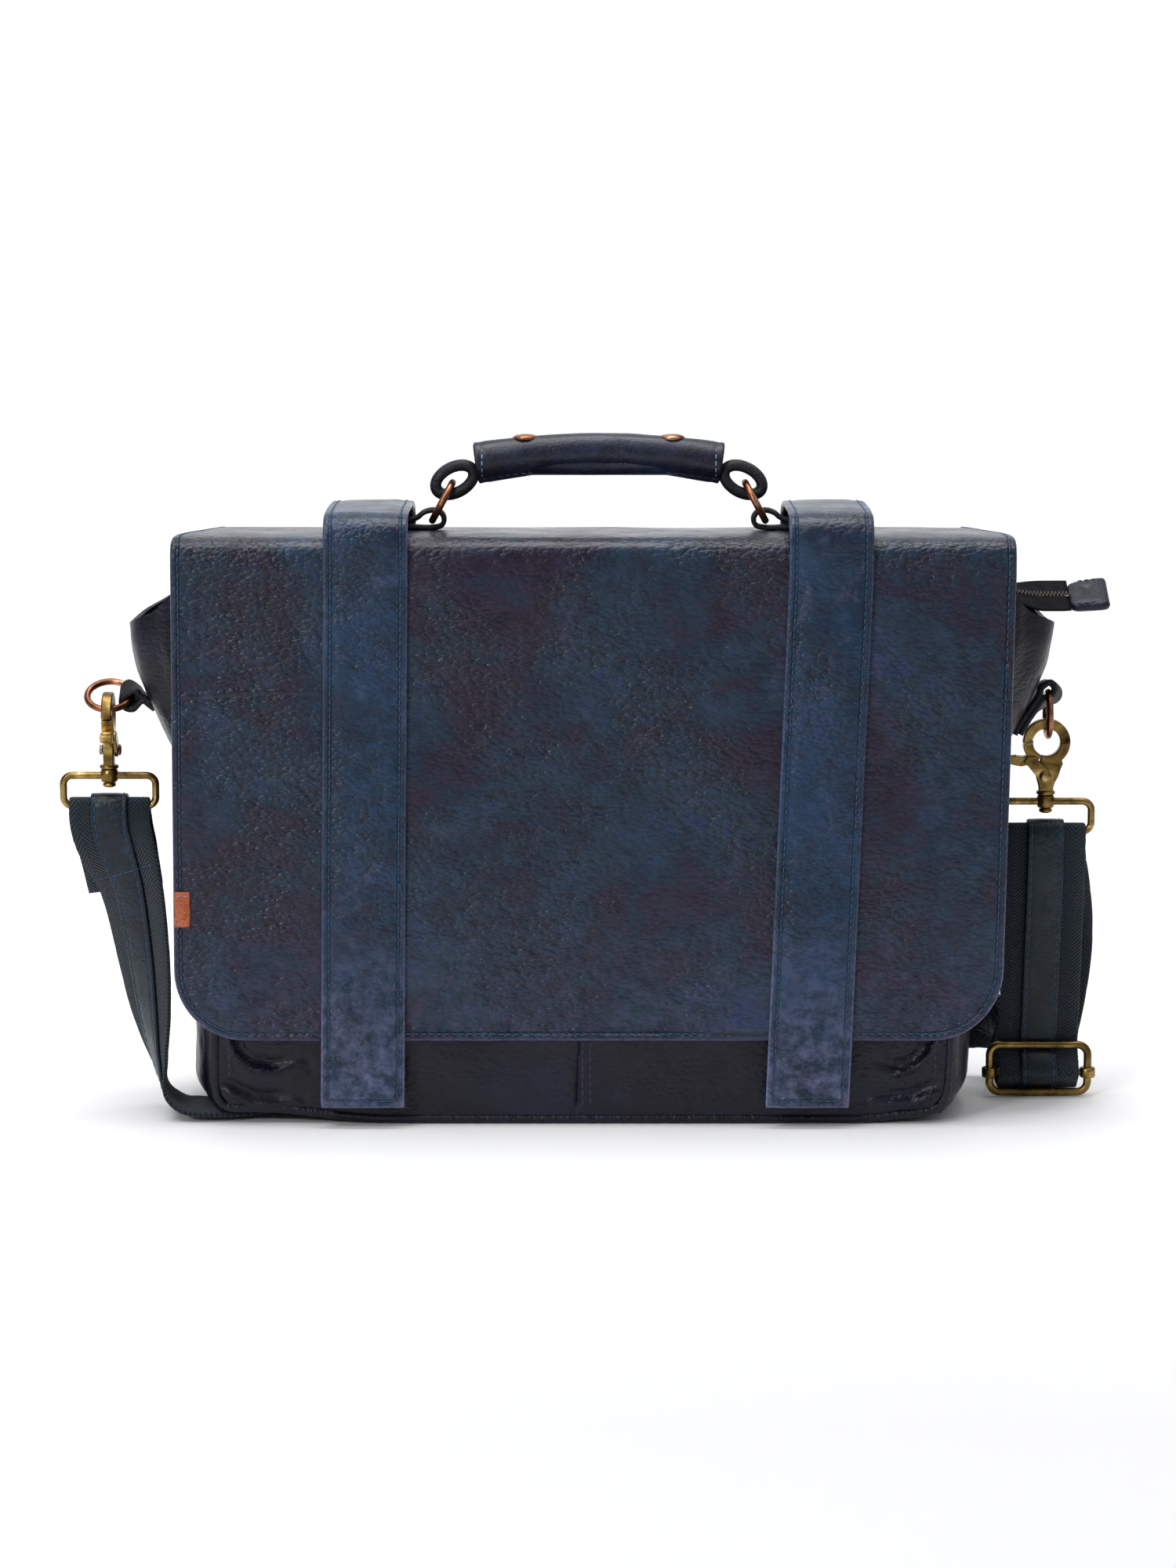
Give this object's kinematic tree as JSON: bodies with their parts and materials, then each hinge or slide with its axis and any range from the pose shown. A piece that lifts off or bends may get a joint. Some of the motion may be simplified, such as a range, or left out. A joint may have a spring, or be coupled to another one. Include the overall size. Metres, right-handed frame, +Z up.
{
  "type": "messenger bag",
  "caption": "Flap-over leather messenger bag with rolled top handle, zip mouth, laptop sleeve and clip-on shoulder strap with swivel snap hooks and slider buckle.",
  "frame": {"origin": "on the ground under the middle of the bag, where its base rests", "axes": "+X to the viewer's right when the flap faces the viewer, -Y is the flap side, +Z up"},
  "size_m": [0.4949, 0.2023, 0.3211],
  "materials": {
    "body_leather": "near-black navy full-grain leather",
    "flap_leather": "waxed blue-black leather, cloudy dye",
    "strap_leather": "waxed blue leather with blue stitching",
    "handle_leather": "smooth rolled leather",
    "loop_leather": "raw black leather",
    "tag_leather": "plain tan leather",
    "board": "fibre board",
    "lining_cloth": "cotton twill",
    "padding": "padded nylon",
    "webbing": "heavy cotton herringbone webbing",
    "zip_tape": "woven zip tape",
    "antique_brass": "antique plated, rubbed edges",
    "copper": "antique copper plated",
    "steel": "dull steel"
  },
  "bodies": {
    "bag": {"front_panel_left": "body_leather", "front_panel_right": "body_leather", "back_panel": "body_leather", "gusset_left": "body_leather", "gusset_right": "body_leather", "base_panel": "body_leather", "base_board": "board", "lining": "lining_cloth", "laptop_divider": "padding", "piping_front": "body_leather", "piping_back": "body_leather", "zip_tape_front": "zip_tape", "zip_tape_back": "zip_tape", "zip_end_tab": "handle_leather", "flap_rear": "body_leather", "strap_rear_left": "strap_leather", "strap_rear_right": "strap_leather", "side_tab_left": "loop_leather", "side_tab_right": "loop_leather", "snap_socket_left": "antique_brass", "snap_socket_right": "antique_brass", "hook_loop_left": "antique_brass", "hook_loop_right": "antique_brass", "shoulder_webbing": "webbing", "shoulder_strip": "strap_leather", "slider_frame": "antique_brass"},
    "flap_top": {"flap_top": "flap_leather", "strap_arch_left": "strap_leather", "strap_arch_right": "strap_leather", "handle_anchor_left": "loop_leather", "handle_anchor_right": "loop_leather"},
    "flap_front": {"flap_front": "flap_leather", "flap_lining": "lining_cloth", "flap_strap_left": "strap_leather", "flap_strap_right": "strap_leather", "snap_stud_left": "antique_brass", "snap_stud_right": "antique_brass", "edge_tag": "tag_leather"},
    "handle": {"handle_grip": "handle_leather", "handle_core": "loop_leather", "handle_loop_left": "loop_leather", "handle_loop_right": "loop_leather", "handle_rivet_left": "copper", "handle_rivet_right": "copper"},
    "zip_slider": {"zip_slider": "antique_brass"},
    "zip_pull": {"zip_pull": "antique_brass"},
    "slider_bar": {"slider_bar": "antique_brass"},
    "handle_ring_left": {"handle_ring_left": "copper"},
    "side_ring_left": {"side_ring_left": "copper"},
    "hook_left": {"hook_body_left": "antique_brass", "hook_pin_left": "steel", "hook_spring_left": "steel"},
    "hook_gate_left": {"hook_gate_left": "antique_brass"},
    "handle_ring_right": {"handle_ring_right": "copper"},
    "side_ring_right": {"side_ring_right": "copper"},
    "hook_right": {"hook_body_right": "antique_brass", "hook_pin_right": "steel", "hook_spring_right": "steel"},
    "hook_gate_right": {"hook_gate_right": "antique_brass"}
  },
  "joints": [
    {"name": "flap_lift", "type": "hinge", "parent": "bag", "child": "flap_top", "pos_m": [0, 0.046, 0.262], "axis": [1, 0, 0], "range_deg": [-120, 0]},
    {"name": "flap_fold", "type": "hinge", "parent": "flap_top", "child": "flap_front", "pos_m": [0, -0.052, 0.263], "axis": [1, 0, 0], "range_deg": [-90, 0]},
    {"name": "handle_swing", "type": "hinge", "parent": "flap_top", "child": "handle", "pos_m": [0, 0, 0.288], "axis": [1, 0, 0], "range_deg": [-40, 40]},
    {"name": "zip_run", "type": "slide", "parent": "bag", "child": "zip_slider", "axis": [1, 0, 0], "range_m": [0, 0.045]},
    {"name": "zip_pull_lift", "type": "hinge", "parent": "zip_slider", "child": "zip_pull", "pos_m": [0.152, 0, 0.2525], "axis": [0, 1, 0], "range_deg": [0, 70]},
    {"name": "slider_bar_slide", "type": "slide", "parent": "bag", "child": "slider_bar", "axis": [0, 0, 1], "range_m": [0, 0.0015]},
    {"name": "handle_ring_left_tilt", "type": "hinge", "parent": "handle", "child": "handle_ring_left", "pos_m": [-0.06621, 0, 0.29689], "axis": [0, 1, 0], "range_deg": [-1, 3]},
    {"name": "side_ring_left_tilt", "type": "hinge", "parent": "bag", "child": "side_ring_left", "pos_m": [-0.2188, 0, 0.196], "axis": [0, 0.8425, 0.5388], "range_deg": [-6, 6]},
    {"name": "hook_left_swivel", "type": "hinge", "parent": "bag", "child": "hook_left", "pos_m": [-0.2288, -0.0087, 0.159], "axis": [0, 0, 1], "range_deg": [-8, 8]},
    {"name": "hook_left_gate", "type": "hinge", "parent": "hook_left", "child": "hook_gate_left", "pos_m": [-0.2288, -0.0097, 0.1714], "axis": [-1, 0, 0], "range_deg": [0, 12], "stiffness_Nm_per_rad": 0.05},
    {"name": "handle_ring_right_tilt", "type": "hinge", "parent": "handle", "child": "handle_ring_right", "pos_m": [0.07141, 0, 0.29689], "axis": [0, 1, 0], "range_deg": [-3, 1]},
    {"name": "side_ring_right_tilt", "type": "hinge", "parent": "bag", "child": "side_ring_right", "pos_m": [0.2155, 0, 0.1976], "axis": [0, 1, 0], "range_deg": [-4, 4]},
    {"name": "hook_right_swivel", "type": "hinge", "parent": "bag", "child": "hook_right", "pos_m": [0.2149, 0, 0.1454], "axis": [0, 0, 1], "range_deg": [-20, 20]},
    {"name": "hook_right_gate", "type": "hinge", "parent": "hook_right", "child": "hook_gate_right", "pos_m": [0.2139, 0, 0.1578], "axis": [0, 1, 0], "range_deg": [0, 12], "stiffness_Nm_per_rad": 0.05}
  ]
}
